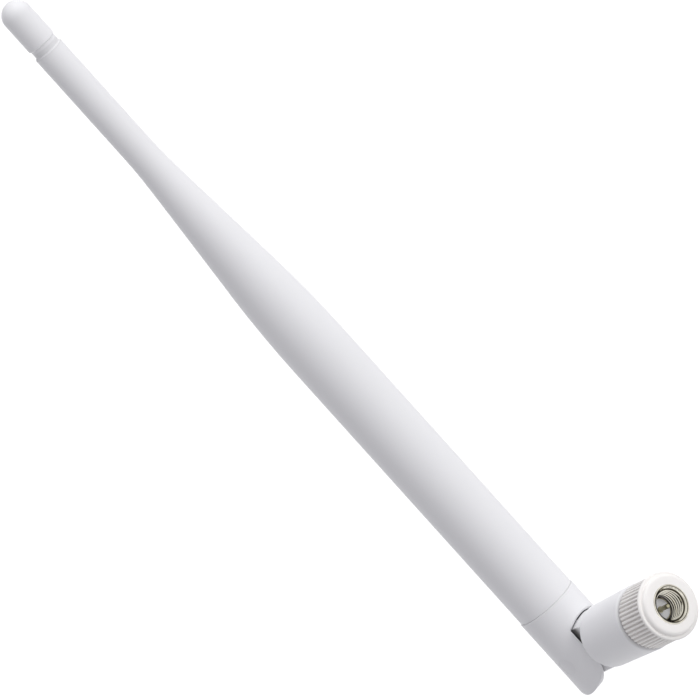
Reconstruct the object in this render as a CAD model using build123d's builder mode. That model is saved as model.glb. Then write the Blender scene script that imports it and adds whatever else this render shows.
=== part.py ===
"""Rod antenna with a tilt-and-swivel coaxial plug, in millimetres.

The origin is the centre of the plug's reference plane, where the outer contact meets the socket.
The plug points along -Y. The rod stands along +Z at rest, at a right angle to the plug, and its
tilt axis is parallel to X through (0, pivot_y, 0).
"""

from build123d import *
from math import atan2, cos, sin, sqrt
import os

# Rod, seen from outside
pivot_y = 27.0  # reference plane to tilt axis
rod_d = 12.4  # thick barrel
seam_z = 11.2  # seam between fork and radome, above the tilt axis
rod_top_z = 153.05  # open end of the radome
shaft_d = 6.2  # thin upper shaft
taper_low_z = 75.5  # the barrel starts to narrow
taper_high_z = 128.0  # the shaft becomes straight
taper_steepness = 1.36  # slope of the taper's straight middle, against its end-to-end slope
taper_low_share = 0.7  # share of the two arcs' radii that the bulging one at the foot has
barrel_wall = 1.3
shaft_wall = 1.2
rim_chamfer = 0.3
seam_edge = 0.1

# Tip cap
cap_d = 6.05
cap_length = 10.0
neck_d = 5.5
neck_length = 1.5
cap_spigot_length = 6.0
cap_edge = 0.25

# Fork
fork_step = 0.15  # the fork stands proud of the rod
slot_width = 7.3  # clear space between the ears
ear_reach = 0.5  # how far the middle of the ears' round ends lies below the tilt axis
seat_gap = 0.25  # between the tongue and the fork's floor
seat_edge = 0.4
ear_edge = 0.25
spigot_length = 8.0
spigot_cup_d = 6.5
spigot_floor = 2.4
snap_rib = 0.25
snap_rib_width = 1.0
cable_hole_d = 2.4

# Hinge pins
pin_d = 3.0
pin_head_d = 3.8
pin_head_depth = 0.8
pin_recess = 0.05
pin_clearance = 0.05
pin_inner_gap = 0.2

# Sleeve and tongue
sleeve_step = 0.1  # the sleeve's shoulder stands proud of the rod
sleeve_draft = 0.3  # growth in radius from the shoulder to the mouth
sleeve_front_y = 5.0
shoulder_gap = 0.2  # to the ears' ends when the rod is straight
shoulder_round = 1.8
lip_round = 0.6
tongue_drop = 0.35  # the tongue's round end is smaller than the sleeve by this
tongue_side_gap = 0.45  # between the tongue's flat sides and the ears
tongue_clearance = 0.1  # between the bearing bosses and the ears
bearing_boss_inset = 1.75  # the bosses are this much smaller all round than the tongue
heel_reach_gap = 0.1
heel_top_drop = 1.6
heel_bottom_drop = 5.2
heel_round = 1.5
cable_slot_width = 2.2

# Swivel bearing inside the sleeve
bush_d = 9.0
bush_front_y = 9.6
bush_length = 3.0
bush_clearance = 0.05
mouth_bore_gap = 0.7  # from the insert, all round and behind it
washer_thickness = 0.7
washer_inset = 0.2  # the washer is this much smaller all round than the bush
clip_pocket_d = 7.4
clip_pocket_length = 4.4
clip_d = 6.2
clip_thickness = 0.6
clip_play = 0.1
ring_opening = 1.0  # gap in the clip and in the snap ring

# Contact body
contact_d = 4.55
insulator_d = 4.1
contact_length = 2.6
barrel_d = 6.2
barrel_end_y = 8.8
stem_d = 5.0
stem_end_y = 14.6
clip_groove_depth = 0.4
insulator_length = 8.2
stem_bore_d = 2.4
stem_bore_end_y = 13.6
crimp_d = 2.4
crimp_bore_d = 1.5
crimp_end_y = 18.0
contact_edge = 0.05

# Centre pin
centre_pin_d = 0.914
centre_pin_reach = 2.8
centre_pin_tip = 0.3
centre_pin_body_d = 1.27
centre_pin_back_y = 10.0

# Threaded insert and its snap ring
mouth_depth = 3.9  # open end of the nut in front of the reference plane
thread_bore_d = 5.6
mouth_bevel = 0.75
insert_d = 7.8
insert_end_y = 6.6
thread_end_y = 2.4
insert_clearance = 0.05
key_groove_depth = 0.4
key_groove_y = 0.5
key_groove_width = 1.5
snap_front_y = 4.85
snap_thickness = 0.7
snap_body_depth = 0.5
snap_ring_d = 6.8
snap_play = 0.1

# Knurled collar
collar_back_gap = 0.5  # to the sleeve's mouth
knurl_d = 12.9
knurl_count = 48
knurl_depth = 0.32
knurl_mouth = 0.5  # groove width at the surface
knurl_floor = 0.14  # groove width at its bottom
rim_d = 13.3
rim_front_depth = 2.9
rim_width = 0.7
rim_edge = 0.25
boss_d = 12.0
boss_inset = 0.1  # the insert stands proud of the boss
boss_round = 0.55
collar_back_chamfer = 0.3

# Crimp ferrule and coaxial cable
ferrule_wall = 0.3
ferrule_front_y = 15.0
ferrule_tail = 2.0
ferrule_clearance = 0.2
jacket_d = 1.8
core_d = 0.9
cable_bend_r = 5.0

# Radiating parts inside the rod
balun_d = 6.0
balun_wall = 0.3
balun_low_z = 28.0
balun_length = 25.0
disc_thickness = 1.0
balun_spacer_flange = 3.0
balun_spacer_boss = 3.0
feed_gap = 3.0
feed_overlap = 5.0
feed_sleeve_wall = 0.3
wire_d = 1.2
coil_low_z = 97.0
coil_turns = 3
coil_pitch = 2.6
coil_mean_r = 1.9
wire_top_z = 146.0
wire_spacer_low_z = 134.0
wire_spacer_length = 4.0

# Places and sizes worked out from the values above
rod_r = rod_d / 2
shaft_r = shaft_d / 2
fork_r = rod_r + fork_step
shoulder_r = rod_r + sleeve_step
sleeve_mouth_r = shoulder_r + sleeve_draft
tongue_r = shoulder_r - tongue_drop
seat_r = tongue_r + seat_gap
ear_end = fork_r + ear_reach
shoulder_y = pivot_y - ear_end - shoulder_gap
tongue_width = slot_width - 2 * tongue_side_gap
bearing_x = slot_width / 2 - tongue_clearance
mouth_y = -mouth_depth
boss_y = mouth_y + boss_inset
rim_front_y = -rim_front_depth
rim_back_y = rim_front_y + rim_width
collar_back_y = sleeve_front_y - collar_back_gap
mouth_bore_r = insert_d / 2 + mouth_bore_gap
mouth_bore_end_y = insert_end_y + mouth_bore_gap
bush_back_y = bush_front_y + bush_length
clip_front_y = bush_back_y + clip_play
clip_back_y = clip_front_y + clip_thickness
snap_back_y = snap_front_y + snap_thickness
pocket_back_y = bush_back_y + clip_pocket_length
ferrule_back_y = crimp_end_y + ferrule_tail
ferrule_hole_d = crimp_d + 2 * ferrule_wall + 2 * ferrule_clearance
balun_top_z = balun_low_z + balun_length
feed_z = balun_top_z + feed_gap
barrel_bore_r = rod_r - barrel_wall
shaft_bore_r = shaft_r - shaft_wall
cap_top_z = rod_top_z + neck_length + cap_length

# The taper is two arcs joined by a straight line that touches both. With the line's slope set,
# the sum of their radii follows from the height and the drop in radius that the three share.
taper_height = taper_high_z - taper_low_z
taper_drop = rod_r - shaft_r
taper_slope = taper_steepness * atan2(taper_drop, taper_height)
arc_sum = (taper_height * sin(taper_slope) - taper_drop * cos(taper_slope)) / (1 - cos(taper_slope))
taper_low_arc_r = taper_low_share * arc_sum
taper_high_arc_r = arc_sum - taper_low_arc_r
taper_line_low = (
    rod_r - taper_low_arc_r * (1 - cos(taper_slope)),
    taper_low_z + taper_low_arc_r * sin(taper_slope),
)
taper_line_high = (
    shaft_r + taper_high_arc_r * (1 - cos(taper_slope)),
    taper_high_z - taper_high_arc_r * sin(taper_slope),
)

rod_axis = Axis((0, pivot_y, 0), (0, 0, 1))
rod_plane = Plane.XZ.offset(-pivot_y)  # local x is X, local y is Z, through the rod's axis

os.makedirs("parts", exist_ok=True)


# Radome: one moulded shell, thick barrel, S-shaped taper and thin shaft, open at both ends
with BuildPart() as radome:
    with BuildSketch(rod_plane):
        with BuildLine():
            Polyline(
                (barrel_bore_r, seam_z),
                (rod_r - seam_edge, seam_z),
                (rod_r, seam_z + seam_edge),
                (rod_r, taper_low_z),
            )
            RadiusArc((rod_r, taper_low_z), taper_line_low, -taper_low_arc_r)
            Line(taper_line_low, taper_line_high)
            RadiusArc(taper_line_high, (shaft_r, taper_high_z), taper_high_arc_r)
            Polyline(
                (shaft_r, taper_high_z),
                (shaft_r, rod_top_z - rim_chamfer),
                (shaft_r - rim_chamfer, rod_top_z),
                (shaft_bore_r, rod_top_z),
                (shaft_bore_r, taper_high_z),
                (barrel_bore_r, taper_low_z),
                (barrel_bore_r, seam_z),
            )
        make_face()
    revolve(axis=rod_axis)
    with BuildSketch(rod_plane):
        with Locations((barrel_bore_r, seam_z + spigot_length / 2)):
            Rectangle(2 * snap_rib, snap_rib_width)
    revolve(axis=rod_axis, mode=Mode.SUBTRACT)
radome.part.label = "radome"
export_step(radome.part, "parts/radome.step")

# Tip cap: a plug with a round head, a narrow neck and a spigot pressed into the shaft
with BuildPart() as tip_cap:
    with BuildSketch(rod_plane):
        with BuildLine():
            head_r = cap_d / 2
            neck_r = neck_d / 2
            head_z = rod_top_z + neck_length
            Polyline(
                (0, rod_top_z - cap_spigot_length),
                (shaft_bore_r - cap_edge, rod_top_z - cap_spigot_length),
                (shaft_bore_r, rod_top_z - cap_spigot_length + cap_edge),
                (shaft_bore_r, rod_top_z),
                (neck_r, rod_top_z),
                (neck_r, head_z),
                (head_r - cap_edge, head_z),
                (head_r, head_z + cap_edge),
                (head_r, cap_top_z - head_r),
            )
            RadiusArc((head_r, cap_top_z - head_r), (0, cap_top_z), -head_r)
            Line((0, cap_top_z), (0, rod_top_z - cap_spigot_length))
        make_face()
    revolve(axis=rod_axis)
tip_cap.part.label = "tip_cap"
export_step(tip_cap.part, "parts/tip_cap.step")

# Hinge fork: the rod's end block, two round-ended ears, a saddle floor and a hollow spigot
with BuildPart() as hinge_fork:
    with BuildSketch(Plane.XY.offset(-ear_end)):
        with Locations((0, pivot_y)):
            Circle(fork_r)
    extrude(amount=ear_end + seam_z)
    chamfer(hinge_fork.edges().sort_by(Axis.Z)[-1], seam_edge)
    with BuildSketch(Plane.YZ.offset(-fork_r)):
        with Locations((pivot_y, -ear_reach)):
            Circle(fork_r)
        with Locations((pivot_y, (seam_z - ear_reach) / 2)):
            Rectangle(2 * fork_r, seam_z + ear_reach)
    extrude(amount=2 * fork_r, mode=Mode.INTERSECT)
    with BuildSketch(Plane.XZ.offset(-pivot_y)):
        Circle(seat_r)
        Rectangle(slot_width, 2 * seat_r, mode=Mode.INTERSECT)
        with Locations((0, -ear_end / 2)):
            Rectangle(slot_width, ear_end)
    extrude(amount=fork_r, both=True, mode=Mode.SUBTRACT)
    saddle_rims = hinge_fork.edges().filter_by(GeomType.BSPLINE).filter_by_position(Axis.Z, 0, seat_r)
    chamfer(saddle_rims, seat_edge)
    chamfer(hinge_fork.edges().filter_by(GeomType.CIRCLE).group_by(Axis.Z)[0], ear_edge)
    with BuildSketch(rod_plane):
        with BuildLine():
            rib_z = seam_z + spigot_length / 2
            rib_low_z = rib_z - snap_rib_width / 2
            rib_high_z = rib_z + snap_rib_width / 2
            Polyline(
                (0, seam_z),
                (barrel_bore_r, seam_z),
                (barrel_bore_r, rib_low_z),
                (barrel_bore_r + snap_rib, rib_low_z),
                (barrel_bore_r + snap_rib, rib_high_z),
                (barrel_bore_r, rib_high_z),
                (barrel_bore_r, seam_z + spigot_length),
                (spigot_cup_d / 2, seam_z + spigot_length),
                (spigot_cup_d / 2, seam_z + spigot_floor),
                (0, seam_z + spigot_floor),
                (0, seam_z),
            )
        make_face()
    revolve(axis=rod_axis)
    with BuildSketch(Plane.XY):
        with Locations((0, pivot_y)):
            Circle(cable_hole_d / 2)
    extrude(amount=seam_z + spigot_length, mode=Mode.SUBTRACT)
    with BuildSketch(Plane.YZ.offset(-fork_r)):
        with Locations((pivot_y, 0)):
            Circle(pin_d / 2)
    extrude(amount=2 * fork_r, mode=Mode.SUBTRACT)
    for side in (-1, 1):
        with BuildSketch(Plane.YZ.offset(side * fork_r)):
            with Locations((pivot_y, 0)):
                Circle(pin_head_d / 2)
        extrude(amount=-side * (pin_head_depth + pin_recess), mode=Mode.SUBTRACT)
hinge_fork.part.label = "hinge_fork"
export_step(hinge_fork.part, "parts/hinge_fork.step")

# Hinge pins: two headed stubs, pressed in from each side, that leave the middle free for the
# cable. Their heads follow the fork's round outside
for side, pin_name in ((-1, "hinge_pin_left"), (1, "hinge_pin_right")):
    with BuildPart() as hinge_pin:
        inner_x = cable_slot_width / 2 + pin_inner_gap
        head_x = fork_r - pin_recess - pin_head_depth
        with BuildSketch(Plane.YZ.offset(side * inner_x)):
            with Locations((pivot_y, 0)):
                Circle(pin_d / 2)
        extrude(amount=side * (head_x - inner_x))
        with BuildSketch(Plane.YZ.offset(side * head_x)):
            with Locations((pivot_y, 0)):
                Circle(pin_head_d / 2)
        extrude(amount=side * pin_head_depth)
        with BuildSketch(Plane.XY.offset(-pin_head_d)):
            with Locations((0, pivot_y)):
                Circle(fork_r - pin_recess)
        extrude(amount=2 * pin_head_d, mode=Mode.INTERSECT)
    hinge_pin.part.label = pin_name
    export_step(hinge_pin.part, f"parts/{pin_name}.step")

# Heel: the tongue's stop, a block under the tongue's round end that meets the fork's saddle floor
# when the rod is straight
with BuildPart() as heel:
    heel_r = seat_r - heel_reach_gap
    with BuildSketch(Plane.XY.offset(-heel_bottom_drop)):
        with Locations((0, pivot_y)):
            Circle(heel_r)
        with Locations((0, pivot_y + heel_r / 2)):
            Rectangle(tongue_width, heel_r, mode=Mode.INTERSECT)
    extrude(amount=heel_bottom_drop - heel_top_drop)
    fillet(heel.edges().filter_by(GeomType.CIRCLE).sort_by(Axis.Z)[0], heel_round)

# Tongue: the sleeve's cylinder, a little smaller, carried on to a round end and flattened to pass
# between the ears, with a round bearing boss on each side
with BuildPart() as tongue:
    root_y = shoulder_y - shoulder_round
    with BuildSketch(Plane.XZ.offset(-root_y)):
        Circle(tongue_r)
    extrude(amount=root_y - pivot_y)
    with Locations((0, pivot_y, 0)):
        Sphere(tongue_r)
    with BuildSketch(Plane.XZ.offset(-pivot_y)):
        Rectangle(tongue_width, 2 * tongue_r)
    extrude(amount=2 * tongue_r, both=True, mode=Mode.INTERSECT)
    with BuildSketch(Plane.YZ):
        with Locations((pivot_y, 0)):
            Circle(tongue_r - bearing_boss_inset)
    extrude(amount=bearing_x, both=True)
    add(heel.part)

# Swivel sleeve: a moulded barrel round the plug's stem, with the tongue at its far end
with BuildPart() as swivel_sleeve:
    with BuildSketch(Plane.XY):
        with BuildLine():
            Polyline(
                (0, sleeve_front_y),
                (sleeve_mouth_r - lip_round, sleeve_front_y),
            )
            RadiusArc(
                (sleeve_mouth_r - lip_round, sleeve_front_y),
                (sleeve_mouth_r, sleeve_front_y + lip_round),
                -lip_round,
            )
            Line(
                (sleeve_mouth_r, sleeve_front_y + lip_round),
                (shoulder_r, shoulder_y - shoulder_round),
            )
            RadiusArc(
                (shoulder_r, shoulder_y - shoulder_round),
                (shoulder_r - shoulder_round, shoulder_y),
                -shoulder_round,
            )
            Polyline(
                (shoulder_r - shoulder_round, shoulder_y),
                (0, shoulder_y),
                (0, sleeve_front_y),
            )
        make_face()
    revolve(axis=Axis.Y)
    add(tongue.part)
    with BuildSketch(Plane.XY):
        with BuildLine():
            Polyline(
                (0, sleeve_front_y),
                (mouth_bore_r, sleeve_front_y),
                (mouth_bore_r, mouth_bore_end_y),
                (bush_d / 2, mouth_bore_end_y),
                (bush_d / 2, bush_back_y),
                (clip_pocket_d / 2, bush_back_y),
                (clip_pocket_d / 2, pocket_back_y),
                (ferrule_hole_d / 2, pocket_back_y),
                (ferrule_hole_d / 2, ferrule_back_y + ferrule_clearance),
                (0, ferrule_back_y + ferrule_clearance),
                (0, sleeve_front_y),
            )
        make_face()
    revolve(axis=Axis.Y, mode=Mode.SUBTRACT)
    with BuildSketch(Plane.YZ.offset(-cable_slot_width / 2)):
        with BuildLine():
            Polyline(
                (ferrule_back_y, -cable_slot_width / 2),
                (pivot_y + seat_r, -cable_slot_width / 2),
                (pivot_y + seat_r, seat_r),
                (shoulder_y + cable_slot_width / 2, seat_r),
                (shoulder_y + cable_slot_width / 2, cable_slot_width / 2),
                (ferrule_back_y, cable_slot_width / 2),
                close=True,
            )
        make_face()
    extrude(amount=cable_slot_width, mode=Mode.SUBTRACT)
    with BuildSketch(Plane.YZ.offset(-bearing_x)):
        with Locations((pivot_y, 0)):
            Circle(pin_d / 2 + pin_clearance)
    extrude(amount=2 * bearing_x, mode=Mode.SUBTRACT)
swivel_sleeve.part.label = "swivel_sleeve"
export_step(swivel_sleeve.part, "parts/swivel_sleeve.step")

# Swivel bush: a plain ring pressed into the sleeve, that runs on the plug's stem
with BuildPart() as swivel_bush:
    with BuildSketch(Plane.XZ.offset(-bush_front_y)):
        Circle(bush_d / 2)
        Circle(stem_d / 2 + bush_clearance, mode=Mode.SUBTRACT)
    extrude(amount=-bush_length)
swivel_bush.part.label = "swivel_bush"
export_step(swivel_bush.part, "parts/swivel_bush.step")

# Friction washer: lies on the bush's front face and rubs on the contact body's shoulder
with BuildPart() as friction_washer:
    with BuildSketch(Plane.XZ.offset(-bush_front_y)):
        Circle(bush_d / 2 - washer_inset)
        Circle(stem_d / 2 + bush_clearance, mode=Mode.SUBTRACT)
    extrude(amount=washer_thickness)
friction_washer.part.label = "friction_washer"
export_step(friction_washer.part, "parts/friction_washer.step")

# Swivel clip: an open ring in the stem's groove, behind the bush
with BuildPart() as swivel_clip:
    with BuildSketch(Plane.XZ.offset(-clip_front_y)):
        Circle(clip_d / 2)
        Circle(stem_d / 2 - clip_groove_depth, mode=Mode.SUBTRACT)
        with Locations((0, clip_d / 2)):
            Rectangle(ring_opening, clip_d, mode=Mode.SUBTRACT)
    extrude(amount=-clip_thickness)
swivel_clip.part.label = "swivel_clip"
export_step(swivel_clip.part, "parts/swivel_clip.step")

# Contact body: turned in one piece, outer contact, barrel with two grooves, stem and crimp spigot
with BuildPart() as contact_body:
    with BuildSketch(Plane.XY):
        with BuildLine():
            barrel_r = barrel_d / 2
            stem_r = stem_d / 2
            Polyline(
                (insulator_d / 2, 0),
                (contact_d / 2 - contact_edge, 0),
                (contact_d / 2, contact_edge),
                (contact_d / 2, contact_length),
                (barrel_r, contact_length),
                (barrel_r, snap_front_y),
                (barrel_r - snap_body_depth, snap_front_y),
                (barrel_r - snap_body_depth, snap_back_y),
                (barrel_r, snap_back_y),
                (barrel_r, barrel_end_y),
                (stem_r, barrel_end_y),
                (stem_r, clip_front_y),
                (stem_r - clip_groove_depth, clip_front_y),
                (stem_r - clip_groove_depth, clip_back_y),
                (stem_r, clip_back_y),
                (stem_r, stem_end_y),
                (crimp_d / 2, stem_end_y),
                (crimp_d / 2, crimp_end_y),
                (crimp_bore_d / 2, crimp_end_y),
                (crimp_bore_d / 2, stem_bore_end_y),
                (stem_bore_d / 2, stem_bore_end_y),
                (stem_bore_d / 2, insulator_length),
                (insulator_d / 2, insulator_length),
                close=True,
            )
        make_face()
    revolve(axis=Axis.Y)
contact_body.part.label = "contact_body"
export_step(contact_body.part, "parts/contact_body.step")

# Insulator: a turned plug that holds the centre pin, flush with the reference plane
with BuildPart() as insulator:
    with BuildSketch(Plane.XZ):
        Circle(insulator_d / 2)
        Circle(centre_pin_body_d / 2, mode=Mode.SUBTRACT)
    extrude(amount=-insulator_length)
insulator.part.label = "insulator"
export_step(insulator.part, "parts/insulator.step")

# Centre pin: turned, with a rounded tip in front and a thicker solder end behind
with BuildPart() as centre_pin:
    with BuildSketch(Plane.XY):
        with BuildLine():
            pin_r = centre_pin_d / 2
            Polyline(
                (0, centre_pin_back_y),
                (0, -centre_pin_reach),
                (pin_r - centre_pin_tip, -centre_pin_reach),
            )
            RadiusArc(
                (pin_r - centre_pin_tip, -centre_pin_reach),
                (pin_r, centre_pin_tip - centre_pin_reach),
                -centre_pin_tip,
            )
            Polyline(
                (pin_r, centre_pin_tip - centre_pin_reach),
                (pin_r, 0),
                (centre_pin_body_d / 2, 0),
                (centre_pin_body_d / 2, centre_pin_back_y),
                (0, centre_pin_back_y),
            )
        make_face()
    revolve(axis=Axis.Y)
centre_pin.part.label = "centre_pin"
export_step(centre_pin.part, "parts/centre_pin.step")

# Snap ring: an open ring seated in the contact body, that holds the insert and lets it turn
with BuildPart() as snap_ring:
    with BuildSketch(Plane.XZ.offset(-snap_front_y)):
        Circle(snap_ring_d / 2)
        Circle(barrel_d / 2 - snap_body_depth, mode=Mode.SUBTRACT)
        with Locations((0, snap_ring_d / 2)):
            Rectangle(ring_opening, snap_ring_d, mode=Mode.SUBTRACT)
    extrude(amount=-snap_thickness)
snap_ring.part.label = "snap_ring"
export_step(snap_ring.part, "parts/snap_ring.step")

# Threaded insert: the metal nut, with the thread's bore in front and a running bore behind
with BuildPart() as thread_insert:
    with BuildSketch(Plane.XY):
        with BuildLine():
            insert_r = insert_d / 2
            bore_r = thread_bore_d / 2
            running_r = barrel_d / 2 + insert_clearance
            snap_r = snap_ring_d / 2 + snap_play
            key_r = insert_r - key_groove_depth
            Polyline(
                (bore_r + mouth_bevel, mouth_y),
                (insert_r, mouth_y),
                (insert_r, key_groove_y),
                (key_r, key_groove_y),
                (key_r, key_groove_y + key_groove_width),
                (insert_r, key_groove_y + key_groove_width),
                (insert_r, insert_end_y),
                (running_r, insert_end_y),
                (running_r, snap_back_y + snap_play),
                (snap_r, snap_back_y + snap_play),
                (snap_r, snap_front_y - snap_play),
                (running_r, snap_front_y - snap_play),
                (running_r, thread_end_y),
                (bore_r, thread_end_y),
                (bore_r, mouth_y + mouth_bevel),
                close=True,
            )
        make_face()
    revolve(axis=Axis.Y)
thread_insert.part.label = "thread_insert"
export_step(thread_insert.part, "parts/thread_insert.step")

# Knurled collar: moulded over the insert and locked in its groove, with a straight-knurled band,
# a plain rim and a domed front face
with BuildPart() as knurled_collar:
    with BuildSketch(Plane.XY):
        with BuildLine():
            knurl_r = knurl_d / 2
            rim_r = rim_d / 2
            boss_r = boss_d / 2
            Polyline(
                (insert_r, boss_y),
                (boss_r - boss_round, boss_y),
            )
            RadiusArc(
                (boss_r - boss_round, boss_y),
                (boss_r, boss_y + boss_round),
                -boss_round,
            )
            Polyline(
                (boss_r, boss_y + boss_round),
                (boss_r, rim_front_y),
                (rim_r - rim_edge, rim_front_y),
                (rim_r, rim_front_y + rim_edge),
                (rim_r, rim_back_y - rim_edge),
                (knurl_r, rim_back_y),
                (knurl_r, collar_back_y - collar_back_chamfer),
                (knurl_r - collar_back_chamfer, collar_back_y),
                (insert_r, collar_back_y),
                (insert_r, key_groove_y + key_groove_width),
                (key_r, key_groove_y + key_groove_width),
                (key_r, key_groove_y),
                (insert_r, key_groove_y),
                (insert_r, boss_y),
            )
        make_face()
    revolve(axis=Axis.Y)
    with BuildSketch(Plane.XZ.offset(-rim_back_y)):
        with PolarLocations(knurl_r, knurl_count):
            Polygon(
                (-knurl_depth, knurl_floor / 2),
                (-knurl_depth, -knurl_floor / 2),
                (0, -knurl_mouth / 2),
                (knurl_depth, -knurl_mouth / 2),
                (knurl_depth, knurl_mouth / 2),
                (0, knurl_mouth / 2),
                align=None,
            )
    extrude(amount=rim_back_y - collar_back_y, mode=Mode.SUBTRACT)
knurled_collar.part.label = "knurled_collar"
export_step(knurled_collar.part, "parts/knurled_collar.step")

# Crimp ferrule: a stepped tube squeezed over the spigot and, behind it, over the cable's jacket
with BuildPart() as crimp_ferrule:
    with BuildSketch(Plane.XY):
        with BuildLine():
            ferrule_r = crimp_d / 2 + ferrule_wall
            tail_r = jacket_d / 2 + ferrule_wall
            Polyline(
                (crimp_d / 2, ferrule_front_y),
                (ferrule_r, ferrule_front_y),
                (ferrule_r, crimp_end_y),
                (tail_r, crimp_end_y + ferrule_wall),
                (tail_r, ferrule_back_y),
                (jacket_d / 2, ferrule_back_y),
                (jacket_d / 2, crimp_end_y),
                (crimp_d / 2, crimp_end_y),
                close=True,
            )
        make_face()
    revolve(axis=Axis.Y)
crimp_ferrule.part.label = "crimp_ferrule"
export_step(crimp_ferrule.part, "parts/crimp_ferrule.step")

# Coaxial cable: from the plug's solder end, through the ferrule, round the hinge and up the rod.
# The jacket ends at the spigot and at the balun's disc, and the bare core goes on at both ends
with BuildPart() as coax_cable:
    bend_share = 1 - sqrt(0.5)  # how far the bend's middle lies inside its corner
    with BuildLine() as cable_route:
        Line((0, crimp_end_y, 0), (0, pivot_y - cable_bend_r, 0))
        ThreePointArc(
            (0, pivot_y - cable_bend_r, 0),
            (0, pivot_y - bend_share * cable_bend_r, bend_share * cable_bend_r),
            (0, pivot_y, cable_bend_r),
        )
        Line((0, pivot_y, cable_bend_r), (0, pivot_y, balun_top_z))
    with BuildSketch(Plane.XZ.offset(-crimp_end_y)):
        Circle(jacket_d / 2)
    sweep(path=cable_route.line)
    with BuildSketch(Plane.XZ.offset(-centre_pin_back_y)):
        Circle(core_d / 2)
    extrude(amount=centre_pin_back_y - crimp_end_y)
    with BuildSketch(Plane.XY.offset(balun_top_z)):
        with Locations((0, pivot_y)):
            Circle(core_d / 2)
    extrude(amount=feed_gap)
coax_cable.part.label = "coax_cable"
export_step(coax_cable.part, "parts/coax_cable.step")

# Balun tube: a thin brass tube, a quarter wave long, closed at its top by the soldered disc
with BuildPart() as balun_tube:
    with BuildSketch(Plane.XY.offset(balun_low_z)):
        with Locations((0, pivot_y)):
            Circle(balun_d / 2)
            Circle(balun_d / 2 - balun_wall, mode=Mode.SUBTRACT)
    extrude(amount=balun_length)
balun_tube.part.label = "balun_tube"
export_step(balun_tube.part, "parts/balun_tube.step")

# Balun end disc: joins the cable's shield to the top of the tube
with BuildPart() as balun_end_disc:
    with BuildSketch(Plane.XY.offset(balun_top_z - disc_thickness)):
        with Locations((0, pivot_y)):
            Circle(balun_d / 2 - balun_wall)
            Circle(jacket_d / 2, mode=Mode.SUBTRACT)
    extrude(amount=disc_thickness)
balun_end_disc.part.label = "balun_end_disc"
export_step(balun_end_disc.part, "parts/balun_end_disc.step")

# Balun spacer: a moulded bobbin that centres the tube and the cable in the barrel
with BuildPart() as balun_spacer:
    with BuildSketch(Plane.XY.offset(balun_low_z - balun_spacer_flange)):
        with Locations((0, pivot_y)):
            Circle(barrel_bore_r)
    extrude(amount=balun_spacer_flange)
    with BuildSketch(Plane.XY.offset(balun_low_z)):
        with Locations((0, pivot_y)):
            Circle(balun_d / 2 - balun_wall)
    extrude(amount=balun_spacer_boss)
    with BuildSketch(Plane.XY.offset(balun_low_z - balun_spacer_flange)):
        with Locations((0, pivot_y)):
            Circle(jacket_d / 2)
    extrude(amount=balun_spacer_flange + balun_spacer_boss, mode=Mode.SUBTRACT)
balun_spacer.part.label = "balun_spacer"
export_step(balun_spacer.part, "parts/balun_spacer.step")

# Feed sleeve: insulating tube over the joint between the cable's core and the radiator
with BuildPart() as feed_sleeve:
    with BuildSketch(Plane.XY.offset(balun_top_z)):
        with Locations((0, pivot_y)):
            Circle(wire_d / 2 + feed_sleeve_wall)
            Circle(wire_d / 2, mode=Mode.SUBTRACT)
    extrude(amount=feed_gap + feed_overlap)
feed_sleeve.part.label = "feed_sleeve"
export_step(feed_sleeve.part, "parts/feed_sleeve.step")

# Radiator: one copper wire, straight, wound into a phasing coil, and straight again to the top
with BuildPart() as radiator:
    coil_height = coil_turns * coil_pitch
    coil_high_z = coil_low_z + coil_height
    with BuildSketch(Plane.XY.offset(feed_z)):
        with Locations((0, pivot_y)):
            Circle(wire_d / 2)
    extrude(amount=coil_low_z - feed_z)
    with BuildSketch(Plane.XY.offset(coil_high_z)):
        with Locations((0, pivot_y)):
            Circle(wire_d / 2)
    extrude(amount=wire_top_z - coil_high_z)
    for end_z in (coil_low_z, coil_high_z):
        with BuildSketch(Plane.YZ):
            with Locations((pivot_y, end_z)):
                Circle(wire_d / 2)
        extrude(amount=coil_mean_r)
        with Locations((0, pivot_y, end_z), (coil_mean_r, pivot_y, end_z)):
            Sphere(wire_d / 2)
    with BuildLine() as coil_route:
        Helix(coil_pitch, coil_height, coil_mean_r, center=(0, pivot_y, coil_low_z))
    with BuildSketch(Plane((coil_mean_r, pivot_y, coil_low_z), z_dir=coil_route.line % 0)):
        Circle(wire_d / 2)
    sweep(path=coil_route.line, is_frenet=True)
radiator.part.label = "radiator"
export_step(radiator.part, "parts/radiator.step")

# Wire spacer: a bead that keeps the wire's thin end from rattling in the shaft
with BuildPart() as wire_spacer:
    with BuildSketch(Plane.XY.offset(wire_spacer_low_z)):
        with Locations((0, pivot_y)):
            Circle(shaft_bore_r)
            Circle(wire_d / 2, mode=Mode.SUBTRACT)
    extrude(amount=wire_spacer_length)
wire_spacer.part.label = "wire_spacer"
export_step(wire_spacer.part, "parts/wire_spacer.step")
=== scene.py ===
import bmesh
import bpy
from math import cos, pi, radians, sin
from mathutils import Matrix, Quaternion, Vector


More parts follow.
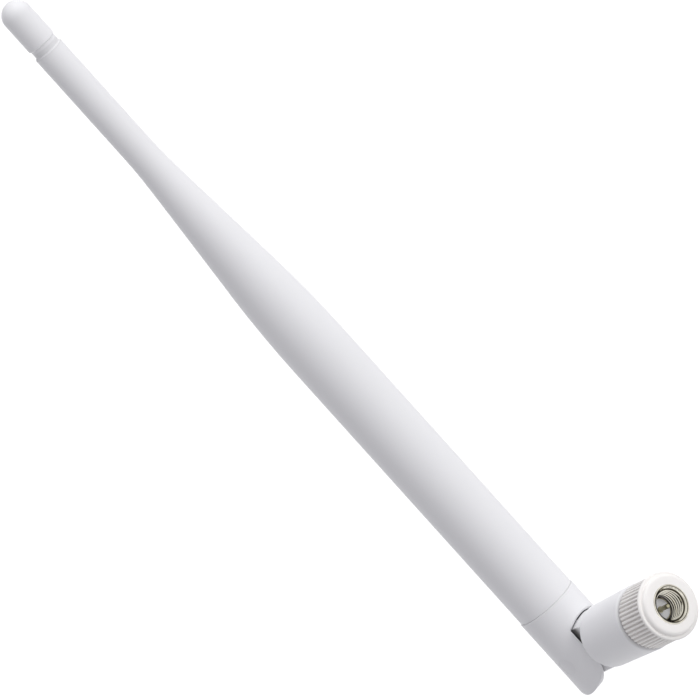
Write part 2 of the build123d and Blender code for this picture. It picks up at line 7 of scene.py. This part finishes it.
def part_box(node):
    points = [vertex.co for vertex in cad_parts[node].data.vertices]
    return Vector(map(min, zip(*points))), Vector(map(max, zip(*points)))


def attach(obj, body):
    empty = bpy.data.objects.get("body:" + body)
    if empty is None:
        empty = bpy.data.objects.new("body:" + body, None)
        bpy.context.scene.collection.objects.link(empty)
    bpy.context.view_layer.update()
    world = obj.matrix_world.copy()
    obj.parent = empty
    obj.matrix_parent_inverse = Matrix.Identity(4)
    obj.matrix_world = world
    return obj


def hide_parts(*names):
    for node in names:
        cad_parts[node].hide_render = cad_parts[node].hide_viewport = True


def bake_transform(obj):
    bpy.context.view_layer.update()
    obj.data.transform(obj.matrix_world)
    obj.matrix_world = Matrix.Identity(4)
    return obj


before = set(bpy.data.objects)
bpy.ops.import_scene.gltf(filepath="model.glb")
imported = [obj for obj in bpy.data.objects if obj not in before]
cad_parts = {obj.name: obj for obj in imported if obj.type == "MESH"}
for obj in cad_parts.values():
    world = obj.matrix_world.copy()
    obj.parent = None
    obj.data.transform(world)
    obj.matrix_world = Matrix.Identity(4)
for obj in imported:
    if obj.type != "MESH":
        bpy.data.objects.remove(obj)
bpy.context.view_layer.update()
mm = 0.001


# Camera
# A long lens, almost square on. It is rolled, so that the standing rod crosses the picture from
# its upper left corner to the lower right, and it looks a little down on the plug's open end.
camera_azimuth = radians(-33.95)
camera_elevation = radians(10.4)
camera_roll = radians(-42)
camera_distance = 5
camera_near = 0.1
camera_far = 40
picture_width = 131.5 * mm
picture_centre = Vector((10.71, 35.07, 69.76)) * mm

camera = bpy.data.objects.new("camera", bpy.data.cameras.new("camera"))
bpy.context.scene.collection.objects.link(camera)
bpy.context.scene.camera = camera
to_camera = Vector((
    sin(camera_azimuth) * cos(camera_elevation),
    -cos(camera_azimuth) * cos(camera_elevation),
    sin(camera_elevation),
))
camera.rotation_mode = "QUATERNION"
camera.rotation_quaternion = (-to_camera).to_track_quat("-Z", "Y") @ Quaternion((0, 0, 1), camera_roll)
camera.location = picture_centre + to_camera * camera_distance
camera.data.lens = camera.data.sensor_width * camera_distance / picture_width
camera.data.clip_start = camera_near
camera.data.clip_end = camera_far


# Studio
# Three broad soft lamps, from above, from the plug's open end and weakly from behind, with pale
# even light all round, over a matt white floor. Floor and surroundings look white to the camera
# and in reflections, in which the lamps don't show.
floor_z = -175 * mm
floor_radius = 18
floor_colour = (0.6, 0.6, 0.6, 1)
floor_glow = 0.6
fill_colour = (0.388, 0.384, 0.412, 1)
soft_lamps = (
    ("top_lamp", Vector((0.25, -0.35, 0.9)), radians(60), 1.58),
    ("front_lamp", Vector((0.25, -0.96, 0.06)), radians(35), 1.37),
    ("back_lamp", Vector((-0.2, 0.96, 0.2)), radians(40), 0.2),
)

scene = bpy.context.scene
scene.view_settings.view_transform = "Standard"


def seen_as_white(tree):
    """A value of 1 for camera, glossy and transmission rays, and 0 for the rays that light."""
    path = tree.nodes.new("ShaderNodeLightPath")
    seen = path.outputs["Is Camera Ray"]
    for ray in ("Is Glossy Ray", "Is Transmission Ray"):
        either = tree.nodes.new("ShaderNodeMath")
        either.operation = "MAXIMUM"
        tree.links.new(seen, either.inputs[0])
        tree.links.new(path.outputs[ray], either.inputs[1])
        seen = either.outputs[0]
    return seen


world = bpy.data.worlds.new("studio")
scene.world = world
world.use_nodes = True
tree = world.node_tree
tree.nodes.clear()
fill = tree.nodes.new("ShaderNodeBackground")
fill.inputs["Color"].default_value = fill_colour
white = tree.nodes.new("ShaderNodeBackground")
white.inputs["Color"].default_value = (1, 1, 1, 1)
choice = tree.nodes.new("ShaderNodeMixShader")
tree.links.new(seen_as_white(tree), choice.inputs[0])
tree.links.new(fill.outputs[0], choice.inputs[1])
tree.links.new(white.outputs[0], choice.inputs[2])
world_out = tree.nodes.new("ShaderNodeOutputWorld")
tree.links.new(choice.outputs[0], world_out.inputs["Surface"])

for name, direction, width, energy in soft_lamps:
    lamp = bpy.data.objects.new(name, bpy.data.lights.new(name, "SUN"))
    scene.collection.objects.link(lamp)
    lamp.data.angle = width
    lamp.data.energy = energy
    lamp.visible_glossy = False
    lamp.location = picture_centre + direction
    lamp.rotation_mode = "QUATERNION"
    lamp.rotation_quaternion = (-direction).to_track_quat("-Z", "Y")

floor_material = bpy.data.materials.new("floor_white")
floor_material.use_nodes = True
tree = floor_material.node_tree
tree.nodes.clear()
matt = tree.nodes.new("ShaderNodeBsdfDiffuse")
matt.inputs["Color"].default_value = floor_colour
glow = tree.nodes.new("ShaderNodeEmission")
glow_strength = tree.nodes.new("ShaderNodeMath")
glow_strength.operation = "MULTIPLY"
glow_strength.inputs[1].default_value = floor_glow
tree.links.new(seen_as_white(tree), glow_strength.inputs[0])
tree.links.new(glow_strength.outputs[0], glow.inputs["Strength"])
both = tree.nodes.new("ShaderNodeAddShader")
tree.links.new(matt.outputs[0], both.inputs[0])
tree.links.new(glow.outputs[0], both.inputs[1])
floor_out = tree.nodes.new("ShaderNodeOutputMaterial")
tree.links.new(both.outputs[0], floor_out.inputs["Surface"])

disc = bmesh.new()
bmesh.ops.create_circle(disc, cap_ends=True, segments=64, radius=floor_radius)
bmesh.ops.translate(disc, verts=disc.verts, vec=(0, 0, floor_z))
floor_mesh = bpy.data.meshes.new("floor")
disc.to_mesh(floor_mesh)
disc.free()
floor_mesh.materials.append(floor_material)
floor = bpy.data.objects.new("floor", floor_mesh)
scene.collection.objects.link(floor)


# Contact body
# The plug's outer contact and hollow stem, turned from brass and nickel-plated. The sleeve turns
# on its stem, and the cable's braid is crimped to its back end. Its front ring is painted almost
# black, as painted shade in the gap between the insulator and the thread.
nickel_colour = (0.72, 0.68, 0.56, 1)
nickel_roughness = 0.2
# The colour of painted shade, laid on metal by its distance from the axis.
painted_shade_colour = (0.035, 0.028, 0.015, 1)
tool_mark_scale = 9000
tool_mark_depth = 0.004 * mm
tool_mark_strength = 0.35
metal_roughness_span = (0.8, 1.3)
stain_scale = 700
# Painted shade: the ring from 2.3 to 2.9 mm from the axis is almost black.
body_painted_shade = ((2.2, 1), (2.3, 0.02), (2.9, 0.02), (3.2, 1))


def new_material(name):
    """A material with its nodes, its links and its shader."""
    material = bpy.data.materials.new(name)
    material.use_nodes = True
    nodes = material.node_tree.nodes
    return material, nodes, material.node_tree.links, nodes["Principled BSDF"]


def noise(nodes, links, place, scale, detail):
    """The grey value of a noise texture at each place."""
    texture = nodes.new("ShaderNodeTexNoise")
    texture.inputs["Scale"].default_value = scale
    texture.inputs["Detail"].default_value = detail
    links.new(place, texture.inputs["Vector"])
    return texture.outputs["Fac"]


def relief(nodes, links, height, strength, depth):
    """Gives the shader a fine relief that follows a grey value."""
    bump = nodes.new("ShaderNodeBump")
    bump.inputs["Strength"].default_value = strength
    bump.inputs["Distance"].default_value = depth
    links.new(height, bump.inputs["Height"])
    links.new(bump.outputs[0], nodes["Principled BSDF"].inputs["Normal"])


def vary_colour(nodes, links, amount, low_share, colour):
    """Lets the shader's colour vary between a darker share of it and the whole of it."""
    tint = nodes.new("ShaderNodeMix")
    tint.data_type = "RGBA"
    tint.inputs["A"].default_value = [low_share * c for c in colour[:3]] + [1]
    tint.inputs["B"].default_value = colour
    links.new(amount, tint.inputs["Factor"])
    links.new(tint.outputs["Result"], nodes["Principled BSDF"].inputs["Base Color"])


def vary_roughness(nodes, links, amount, roughness, span):
    """Lets the shader's roughness vary between two shares of a value."""
    rough = nodes.new("ShaderNodeMapRange")
    rough.inputs["To Min"].default_value = roughness * span[0]
    rough.inputs["To Max"].default_value = roughness * span[1]
    links.new(amount, rough.inputs["Value"])
    links.new(rough.outputs["Result"], nodes["Principled BSDF"].inputs["Roughness"])


def axis_distance(nodes, links, place, axis):
    """The distance of each place from an axis through the origin."""
    across = nodes.new("ShaderNodeVectorMath")
    across.operation = "MULTIPLY"
    across.inputs[1].default_value = [0 if letter == axis else 1 for letter in "XYZ"]
    links.new(place, across.inputs[0])
    distance = nodes.new("ShaderNodeVectorMath")
    distance.operation = "LENGTH"
    links.new(across.outputs[0], distance.inputs[0])
    return distance.outputs["Value"]


def paint_shade_by_radius(nodes, links, distance, shade_stops):
    """Mixes painted shade into the shader's colour, by stops of a distance in millimetres and an unshaded
    share.
    """
    first = shade_stops[0][0]
    last = shade_stops[-1][0]
    span = nodes.new("ShaderNodeMapRange")
    span.inputs["From Min"].default_value = first * mm
    span.inputs["From Max"].default_value = last * mm
    links.new(distance, span.inputs["Value"])
    unshaded = nodes.new("ShaderNodeValToRGB")
    stops = unshaded.color_ramp.elements
    stops.remove(stops[0])
    for index, (stop_distance, share) in enumerate(shade_stops):
        position = (stop_distance - first) / (last - first)
        stop = stops[0] if index == 0 else stops.new(position)
        stop.position = position
        stop.color = (share, share, share, 1)
    links.new(span.outputs["Result"], unshaded.inputs["Fac"])
    base = nodes["Principled BSDF"].inputs["Base Color"]
    # Painted shade: the dark colour is mixed in where the ramp's share is low.
    darkened = nodes.new("ShaderNodeMix")
    darkened.data_type = "RGBA"
    darkened.inputs["A"].default_value = painted_shade_colour
    links.new(unshaded.outputs["Color"], darkened.inputs["Factor"])
    links.new(base.links[0].from_socket, darkened.inputs["B"])
    links.new(darkened.outputs["Result"], base)


def turned_metal(name, colour, roughness, axis, centre=(0, 0, 0), patches=0.1, shade_stops=()):
    """Plated or bare metal with the fine rings that a cutting tool leaves round its axis.

    Its colour is uneven by the share patches, and it is painted darker at the given stops, as painted
    shade.
    """
    material, nodes, links, shader = new_material(name)
    shader.inputs["Metallic"].default_value = 1
    place = nodes.new("ShaderNodeTexCoord").outputs["Object"]
    centred = nodes.new("ShaderNodeMapping")
    centred.inputs["Location"].default_value = [-c for c in centre]
    links.new(place, centred.inputs["Vector"])
    parts = nodes.new("ShaderNodeSeparateXYZ")
    links.new(centred.outputs[0], parts.inputs[0])
    distance = axis_distance(nodes, links, centred.outputs[0], axis)
    ring = nodes.new("ShaderNodeCombineXYZ")
    links.new(distance, ring.inputs[0])
    links.new(parts.outputs[axis], ring.inputs[1])
    marks = noise(nodes, links, ring.outputs[0], tool_mark_scale, detail=3)
    stain = noise(nodes, links, place, stain_scale, detail=4)
    relief(nodes, links, marks, tool_mark_strength, tool_mark_depth)
    vary_roughness(nodes, links, marks, roughness, metal_roughness_span)
    vary_colour(nodes, links, stain, 1 - patches, colour)
    if shade_stops:
        paint_shade_by_radius(nodes, links, distance, shade_stops)
    return material


def finish_node(name, material):
    """Gives a CAD node its material."""
    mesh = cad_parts[name].data
    mesh.materials.clear()
    mesh.materials.append(material)


body_plate = turned_metal("body_plate", nickel_colour, nickel_roughness, "Y", shade_stops=body_painted_shade)
finish_node("contact_body", body_plate)


# Insulator
# A plug of white fluoropolymer, turned to fit the contact body and pushed in from the front. It
# is waxy and slightly see-through, with a faint texture on its face.
insulator_colour = (0.95, 0.95, 0.96, 1)
insulator_roughness = 0.2
insulator_glow = 0.3
mould_grain = 0.16 * mm
mould_texture_depth = 0.006 * mm
mould_texture_strength = 0.5
plastic_roughness_span = (0.9, 1.15)
plastic_ior = 1.5
cloud_scale = 60
cloud_share = 0.97
scatter_distance = 1 * mm


def moulded_plastic(name, colour, roughness, grain=mould_grain, glow_through=0):
    """Plastic with a fine eroded texture from its mould and slight unevenness of colour."""
    material, nodes, links, shader = new_material(name)
    shader.inputs["Subsurface Weight"].default_value = glow_through
    shader.inputs["Subsurface Scale"].default_value = scatter_distance
    shader.inputs["Subsurface Radius"].default_value = (1, 1, 1)
    shader.inputs["IOR"].default_value = plastic_ior
    place = nodes.new("ShaderNodeTexCoord").outputs["Object"]
    texture = noise(nodes, links, place, 1 / grain, detail=3)
    cloud = noise(nodes, links, place, cloud_scale, detail=2)
    relief(nodes, links, texture, mould_texture_strength, mould_texture_depth)
    vary_roughness(nodes, links, texture, roughness, plastic_roughness_span)
    vary_colour(nodes, links, cloud, cloud_share, colour)
    return material


insulator_white = moulded_plastic(
    "insulator_white", insulator_colour, insulator_roughness, glow_through=insulator_glow
)
finish_node("insulator", insulator_white)


# Centre pin
# The signal contact, turned from brass and plated, with a rounded tip. Its thicker back end holds
# the cable's core and is soldered to it.
pin_colour = (0.45, 0.42, 0.29, 1)
pin_roughness = 0.35
finish_node("centre_pin", turned_metal("pin_plate", pin_colour, pin_roughness, "Y"))


# Snap ring and swivel clip
# Two open rings of bright spring steel in the contact body's grooves. One holds the nut and lets
# it turn, and the other keeps the sleeve's bush on the stem.
steel_colour = (0.56, 0.56, 0.57, 1)
steel_roughness = 0.25
spring_steel = turned_metal("spring_steel", steel_colour, steel_roughness, "Y")
for ring_name in ("snap_ring", "swivel_clip"):
    finish_node(ring_name, spring_steel)


# Threaded insert
# The nut, turned from brass, threaded 36 turns to the inch, bevelled at its mouth and
# nickel-plated. Its back bore runs on the snap ring, and the collar is moulded round it. Painted
# shade darkens the thread's roots, a ring on its bevel, and the bore deep inside.
nut_low, nut_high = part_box("thread_insert")
nut_radius = nut_high.x
nut_front = nut_low.y
nut_back = nut_high.y
mouth_bevel = 0.75 * mm
mouth_round = 0.08 * mm
running_bore = 3.15 * mm
thread_pitch = 0.7056 * mm
thread_root = 3.175 * mm
thread_crest = 2.8 * mm
thread_start = nut_front + 0.1 * mm
thread_end = 2.4 * mm
thread_undercut = 0.1 * mm
crest_width = thread_pitch / 4
ridge_base = thread_pitch * 7 / 8
ridge_sink = 0.03 * mm
ridge_setback = 0.02 * mm
steps_per_turn = 96
weld_distance = 0.0001 * mm
nut_colour = (0.95, 0.91, 0.79, 1)
nut_roughness = 0.15
nut_patches = 0.65
# Painted shade by distance from the axis: dark in the thread's roots and in a ring on the mouth's bevel.
nut_painted_shade = (
    (2.78, 1),
    (2.9, 1),
    (2.98, 0.05),
    (3.16, 0),
    (3.22, 0.9),
    (3.45, 1),
    (3.53, 0.1),
    (3.6, 0.1),
    (3.7, 1),
    (3.9, 1),
)
# The colour of painted shade laid in soft-edged boxes.
box_shade_colour = (0.07, 0.065, 0.06, 1)
# Painted shade deep in the nut's bore, behind its mouth.
bore_painted_shade = {"centre": (0, 3, 0), "half": (4, 2.6, 4), "edge": (1, 0.3, 1), "share": 0.98}


def lay_over(nodes, links, amount, colour):
    """Mixes a colour over the shader's own, by an amount from 0 to 1."""
    base = nodes["Principled BSDF"].inputs["Base Color"]
    overlay = nodes.new("ShaderNodeMix")
    overlay.data_type = "RGBA"
    overlay.inputs["B"].default_value = colour
    links.new(base.links[0].from_socket, overlay.inputs["A"])
    links.new(amount, overlay.inputs["Factor"])
    links.new(overlay.outputs["Result"], base)


def paint_shade_box(material, centre, half, edge, share):
    """Darkens a material in a box with soft edges, given in millimetres, as painted shade."""
    nodes, links = material.node_tree.nodes, material.node_tree.links
    place = nodes.new("ShaderNodeTexCoord").outputs["Object"]
    steps = (
        ("SUBTRACT", [mm * c for c in centre]),
        ("ABSOLUTE", None),
        ("SUBTRACT", [mm * h for h in half]),
        ("MULTIPLY_ADD", [-1 / (mm * e) for e in edge]),
        ("MINIMUM", (1, 1, 1)),
        ("MAXIMUM", (0, 0, 0)),
        ("MULTIPLY", (share, 1, 1)),
    )
    for operation, value in steps:
        step = nodes.new("ShaderNodeVectorMath")
        step.operation = operation
        links.new(place, step.inputs[0])
        if value is not None:
            step.inputs[1].default_value = value
        if operation == "MULTIPLY_ADD":
            step.inputs[2].default_value = (1, 1, 1)
        place = step.outputs[0]
    parts = nodes.new("ShaderNodeSeparateXYZ")
    links.new(place, parts.inputs[0])
    amount = parts.outputs["X"]
    for axis in "YZ":
        product = nodes.new("ShaderNodeMath")
        product.operation = "MULTIPLY"
        links.new(amount, product.inputs[0])
        links.new(parts.outputs[axis], product.inputs[1])
        amount = product.outputs[0]
    lay_over(nodes, links, amount, box_shade_colour)


def lathe(outline, steps=128):
    """A closed ring turned round the Y axis, from points of a radius and a place along the axis."""
    shape = bmesh.new()
    verts = [shape.verts.new((radius, along, 0)) for radius, along in outline]
    edges = [shape.edges.new((a, b)) for a, b in zip(verts, verts[1:] + verts[:1])]
    bmesh.ops.spin(
        shape, geom=verts + edges, cent=(0, 0, 0), axis=(0, 1, 0), angle=2 * pi, steps=steps, use_merge=True
    )
    bmesh.ops.remove_doubles(shape, verts=shape.verts, dist=weld_distance)
    bmesh.ops.recalc_face_normals(shape, faces=shape.faces)
    return shape


def new_piece(name, shape, material, sharp_angle=radians(35)):
    """Makes the bmesh a shaded object at the origin."""
    for edge in shape.edges:
        edge.smooth = len(edge.link_faces) < 2 or edge.calc_face_angle() < sharp_angle
    for face in shape.faces:
        face.smooth = True
    mesh = bpy.data.meshes.new(name)
    shape.to_mesh(mesh)
    shape.free()
    mesh.materials.append(material)
    piece = bpy.data.objects.new(name, mesh)
    bpy.context.scene.collection.objects.link(piece)
    return piece


nut_shape = lathe([
    (thread_crest + mouth_bevel, nut_front),
    (nut_radius - mouth_round, nut_front),
    (nut_radius, nut_front + mouth_round),
    (nut_radius, nut_back),
    (running_bore, nut_back),
    (running_bore, thread_end),
    (thread_root, thread_end - thread_undercut),
    (thread_root, nut_front + thread_crest + mouth_bevel - thread_root),
])

ridge = bmesh.new()
section = [
    (thread_root + ridge_sink, -ridge_base / 2),
    (thread_crest, -crest_width / 2),
    (thread_crest, crest_width / 2),
    (thread_root + ridge_sink, ridge_base / 2),
]
section_verts = [ridge.verts.new((radius, thread_start + along, 0)) for radius, along in section]
section_face = ridge.faces.new(section_verts)
turns = int((thread_end - thread_start) / thread_pitch)
bmesh.ops.spin(
    ridge,
    geom=[section_face] + section_face.edges[:] + section_face.verts[:],
    cent=(0, 0, 0),
    axis=(0, -1, 0),
    dvec=(0, thread_pitch / steps_per_turn, 0),
    angle=2 * pi * turns,
    steps=steps_per_turn * turns,
)
bmesh.ops.remove_doubles(ridge, verts=ridge.verts, dist=weld_distance)
bmesh.ops.recalc_face_normals(ridge, faces=ridge.faces)
# The mouth's bevel cuts the ridge's first turn back.
for vert in ridge.verts:
    bevel_radius = thread_crest + mouth_bevel - max(vert.co.y - nut_front, 0)
    radius = Vector((vert.co.x, vert.co.z)).length
    if radius < bevel_radius:
        vert.co.x *= bevel_radius / radius
        vert.co.z *= bevel_radius / radius
    vert.co.y = max(vert.co.y, nut_front + ridge_setback)

nut_plate = turned_metal(
    "nut_plate", nut_colour, nut_roughness, "Y", patches=nut_patches, shade_stops=nut_painted_shade
)
# Painted shade deep in the bore.
paint_shade_box(nut_plate, **bore_painted_shade)
nut = new_piece("threaded_nut", nut_shape, nut_plate)
thread = new_piece("nut_thread", ridge, nut_plate, sharp_angle=radians(25))
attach(nut, "coupling_nut")
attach(thread, "coupling_nut")
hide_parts("thread_insert")


# Knurled collar
# A grip ring of white plastic moulded over the nut, with forty-eight straight grooves, a plain
# rim and a domed front. Its edges are softened, as the mould leaves them. Its grooves are darker
# towards their bottom.
collar_low, collar_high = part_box("knurled_collar")
rim_radius = collar_high.x
collar_front = collar_low.y
collar_back = collar_high.y
collar_bore = nut_radius - 0.02 * mm
boss_radius = 6 * mm
boss_round = 0.75 * mm
rim_front = -2.9 * mm
rim_back = -2.2 * mm
rim_round = 0.28 * mm
grip_front = rim_back + 0.02 * mm
grip_radius = 6.45 * mm
groove_count = 48
groove_depth = 0.32 * mm
groove_share = 0.62
groove_fullness = 0.8
groove_floor = grip_radius - groove_depth
samples_per_groove = 12
corner_steps = 5
collar_colour = (0.95, 0.93, 0.9, 1)
collar_roughness = 0.4
# The grooves are darker towards their bottom.
groove_dark_colour = (0.36, 0.31, 0.28, 1)
groove_dark_share = 0.42
groove_dark_top = grip_radius - 0.04 * mm


def rounded(centre, radius, start, end):
    """Points of a rounded corner, from one angle in degrees to the other."""
    angles = [radians(start + (end - start) * i / corner_steps) for i in range(corner_steps + 1)]
    return [(centre[0] + radius * cos(a), centre[1] + radius * sin(a)) for a in angles]


outline = [(collar_bore, collar_front)]
outline += rounded((boss_radius - boss_round, collar_front + boss_round), boss_round, -90, 0)
outline += [(boss_radius, rim_front)]
outline += rounded((rim_radius - rim_round, rim_front + rim_round), rim_round, -90, 0)
outline += rounded((rim_radius - rim_round, rim_back - rim_round), rim_round, 0, 75)
outline += [(grip_radius, rim_back), (grip_radius, grip_front)]
outline += rounded((grip_radius - rim_round, collar_back - rim_round), rim_round, 0, 90)
outline += [(collar_bore, collar_back)]
collar_shape = lathe(outline, steps=groove_count * samples_per_groove)
for vert in collar_shape.verts:
    radius = Vector((vert.co.x, vert.co.z)).length
    if vert.co.y > (rim_back + grip_front) / 2 and radius > nut_radius:
        turn = Vector((vert.co.x, vert.co.z)).angle_signed(Vector((1, 0))) / (2 * pi) * groove_count
        from_groove = abs(turn - round(turn)) / (groove_share / 2)
        if from_groove < 1:
            cut_radius = grip_radius - groove_depth * cos(pi / 2 * from_groove) ** groove_fullness
            shrink = min(1, cut_radius / radius)
            vert.co.x *= shrink
            vert.co.z *= shrink


def darken_grooves(material, bottom, top, front, share):
    """Darkens grooves that run along the Y axis, most at their bottom, behind the front."""
    nodes, links = material.node_tree.nodes, material.node_tree.links
    place = nodes.new("ShaderNodeTexCoord").outputs["Object"]
    depth = nodes.new("ShaderNodeMapRange")
    depth.inputs["From Min"].default_value = bottom
    depth.inputs["From Max"].default_value = top
    depth.inputs["To Min"].default_value = share
    depth.inputs["To Max"].default_value = 0
    links.new(axis_distance(nodes, links, place, "Y"), depth.inputs["Value"])
    parts = nodes.new("ShaderNodeSeparateXYZ")
    links.new(place, parts.inputs[0])
    behind = nodes.new("ShaderNodeMath")
    behind.operation = "GREATER_THAN"
    behind.inputs[1].default_value = front
    links.new(parts.outputs["Y"], behind.inputs[0])
    amount = nodes.new("ShaderNodeMath")
    amount.operation = "MULTIPLY"
    links.new(depth.outputs["Result"], amount.inputs[0])
    links.new(behind.outputs[0], amount.inputs[1])
    lay_over(nodes, links, amount.outputs[0], groove_dark_colour)


collar_plastic = moulded_plastic("collar_plastic", collar_colour, collar_roughness)
darken_grooves(collar_plastic, groove_floor, groove_dark_top, rim_back, groove_dark_share)
collar = new_piece("grip_collar", collar_shape, collar_plastic)
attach(collar, "coupling_nut")
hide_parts("knurled_collar")


# Swivel sleeve
# A moulded white barrel that turns on the plug's stem. Its far end is flattened to a round-ended
# tongue for the tilt hinge, with a slot for the cable. Painted shade darkens the tongue's sides
# in the hinge gap, and a thin ring of painted shade lies round the mouth.
white_colour = (0.87, 0.87, 0.88, 1)
white_roughness = 0.42
tongue_side = 3.2
tongue_middle = (30, 6)
# Painted shade on the tongue's sides, darkest deep in the hinge gap.
tongue_painted_shade = {"half": (0.1, 8.8, 5), "edge": (0.15, 1.4, 2), "share": 0.9}
# A thin ring of painted shade in the gap between the collar and the sleeve's mouth.
sleeve_mouth_painted_shade = {"centre": (0, 5, 0), "half": (8, 0.15, 8), "edge": (1, 0.2, 1), "share": 0.15}
sleeve_plastic = moulded_plastic("sleeve_plastic", white_colour, white_roughness)
for side in (-tongue_side, tongue_side):
    paint_shade_box(sleeve_plastic, centre=(side, *tongue_middle), **tongue_painted_shade)
paint_shade_box(sleeve_plastic, **sleeve_mouth_painted_shade)
finish_node("swivel_sleeve", sleeve_plastic)


# Swivel bush and friction washer
# A ring of natural acetal pressed into the sleeve, and a rubber washer in front of it that rubs
# on the contact body, so that the sleeve stays where it is turned to.
acetal_colour = (0.75, 0.74, 0.7, 1)
acetal_roughness = 0.4
rubber_colour = (0.05, 0.05, 0.05, 1)
rubber_roughness = 0.7
rubber_grain = 0.1 * mm
finish_node("swivel_bush", moulded_plastic("bush_plastic", acetal_colour, acetal_roughness))
washer_rubber = moulded_plastic("washer_rubber", rubber_colour, rubber_roughness, grain=rubber_grain)
finish_node("friction_washer", washer_rubber)


# Crimp ferrule
# A short stepped brass tube, nickel-plated. It is squeezed over the plug's back end and over the
# cable's jacket, and holds the braid between them.
finish_node("crimp_ferrule", turned_metal("ferrule_plate", nickel_colour, nickel_roughness, "Y"))


# Coaxial cable
# Thin coaxial cable with a smooth brown jacket, from the plug, round the hinge through the
# tongue's slot, and up the rod.
pivot = Vector((0, 27, 0)) * mm
cable_radius = 0.9 * mm
core_radius = 0.45 * mm
core_start = 10 * mm
jacket_start = 18 * mm
cable_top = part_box("coax_cable")[1].z
jacket_top = cable_top - 3 * mm
bend_radius = 5 * mm
bend_steps = 24
cable_sides = 24
jacket_colour = (0.35, 0.22, 0.14, 1)
jacket_roughness = 0.3


def run_on(shape, ring, vec):
    """Carries the open ring straight on and returns the new ring."""
    edges = list({e for v in ring for e in v.link_edges if e.other_vert(v) in ring})
    made = bmesh.ops.extrude_edge_only(shape, edges=edges)["geom"]
    new_ring = [g for g in made if isinstance(g, bmesh.types.BMVert)]
    bmesh.ops.translate(shape, verts=new_ring, vec=vec)
    return new_ring


def widen(shape, ring, factor, ring_centre):
    """Steps the open ring out or in, in its own plane, and returns the new ring."""
    new_ring = run_on(shape, ring, (0, 0, 0))
    bmesh.ops.scale(
        shape, verts=new_ring, vec=(factor, factor, factor), space=Matrix.Translation(-Vector(ring_centre))
    )
    return new_ring


cable_shape = bmesh.new()
circle = bmesh.ops.create_circle(cable_shape, cap_ends=False, segments=cable_sides, radius=core_radius)
ring = circle["verts"]
bmesh.ops.rotate(cable_shape, verts=ring, cent=(0, 0, 0), matrix=Matrix.Rotation(pi / 2, 3, "X"))
bmesh.ops.translate(cable_shape, verts=ring, vec=(0, core_start, 0))
cable_shape.faces.new(ring)
ring = run_on(cable_shape, ring, (0, jacket_start - core_start, 0))
ring = widen(cable_shape, ring, cable_radius / core_radius, (0, jacket_start, 0))
ring = run_on(cable_shape, ring, (0, pivot.y - bend_radius - jacket_start, 0))
for step in range(bend_steps):
    ring = run_on(cable_shape, ring, (0, 0, 0))
    bmesh.ops.rotate(
        cable_shape,
        verts=ring,
        cent=(0, pivot.y - bend_radius, bend_radius),
        matrix=Matrix.Rotation(pi / 2 / bend_steps, 3, "X"),
    )
ring = run_on(cable_shape, ring, (0, 0, jacket_top - bend_radius))
ring = widen(cable_shape, ring, core_radius / cable_radius, (0, pivot.y, jacket_top))
run_on(cable_shape, ring, (0, 0, cable_top - jacket_top))
bmesh.ops.holes_fill(cable_shape, edges=[e for e in cable_shape.edges if e.is_boundary])
bmesh.ops.recalc_face_normals(cable_shape, faces=cable_shape.faces)
cable_jacket = moulded_plastic("cable_jacket", jacket_colour, jacket_roughness)
cable = new_piece("cable", cable_shape, cable_jacket)
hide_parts("coax_cable")
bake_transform(cable)


# Hinge fork
# The rod's lower end, moulded in one piece: two round-ended ears, the saddle floor that the
# tongue turns in, and a hollow spigot pressed into the rod. Painted shade lies thinly along
# their seam.
# A thin band of painted shade along the seam between fork and rod.
seam_painted_shade = {"centre": (0, 27, 11.2), "half": (8, 8, 0.08), "edge": (1, 1, 0.06), "share": 0.13}
white_plastic = moulded_plastic("white_plastic", white_colour, white_roughness)
paint_shade_box(white_plastic, **seam_painted_shade)
finish_node("hinge_fork", white_plastic)


# Hinge pins
# Two headed stubs of the same white plastic, pressed in from each side. They leave the middle of
# the hinge free for the cable.
hinge_pin_colour = (0.84, 0.84, 0.85, 1)
hinge_pin_roughness = 0.4
for pin_name in ("hinge_pin_left", "hinge_pin_right"):
    finish_node(pin_name, moulded_plastic(pin_name, hinge_pin_colour, hinge_pin_roughness))


# Rod
# One moulded shell, thick at the hinge and drawn in by a long S-shaped taper to a thin shaft. The
# end cap's spigot is pressed into its open top.
finish_node("radome", white_plastic)


# End cap
# A moulded plug with a round head and a narrow neck, pressed into the rod's open end. Painted
# shade darkens the groove under its head and the rod's rim.
# Painted shade in the groove under the cap's head and on the rod's rim.
neck_painted_shade = {"centre": (0, 27, 153.3), "half": (4, 4, 0.6), "edge": (1, 1, 0.15), "share": 0.12}
paint_shade_box(white_plastic, **neck_painted_shade)
finish_node("tip_cap", white_plastic)


# Balun
# A thin drawn brass tube round the cable, a quarter wave long. A disc soldered to the cable's
# braid closes its top, and a moulded bobbin centres it in the rod.
brass_colour = (0.78, 0.6, 0.3, 1)
brass_roughness = 0.25
bare_brass = turned_metal("bare_brass", brass_colour, brass_roughness, "Z", centre=pivot)
finish_node("balun_tube", bare_brass)
finish_node("balun_end_disc", bare_brass)
finish_node("balun_spacer", moulded_plastic("spacer_plastic", acetal_colour, acetal_roughness))


# Radiator
# Copper wire with a clear enamel, joined to the cable's core under a black shrink sleeve, wound
# into a short phasing coil, and steadied near its top by a plastic bead.
copper_colour = (0.72, 0.4, 0.25, 1)
copper_roughness = 0.2
shrink_colour = (0.03, 0.03, 0.03, 1)
shrink_roughness = 0.5
finish_node("feed_sleeve", moulded_plastic("shrink_tube", shrink_colour, shrink_roughness))
finish_node("radiator", turned_metal("copper_wire", copper_colour, copper_roughness, "Z", centre=pivot))
finish_node("wire_spacer", moulded_plastic("bead_plastic", acetal_colour, acetal_roughness))
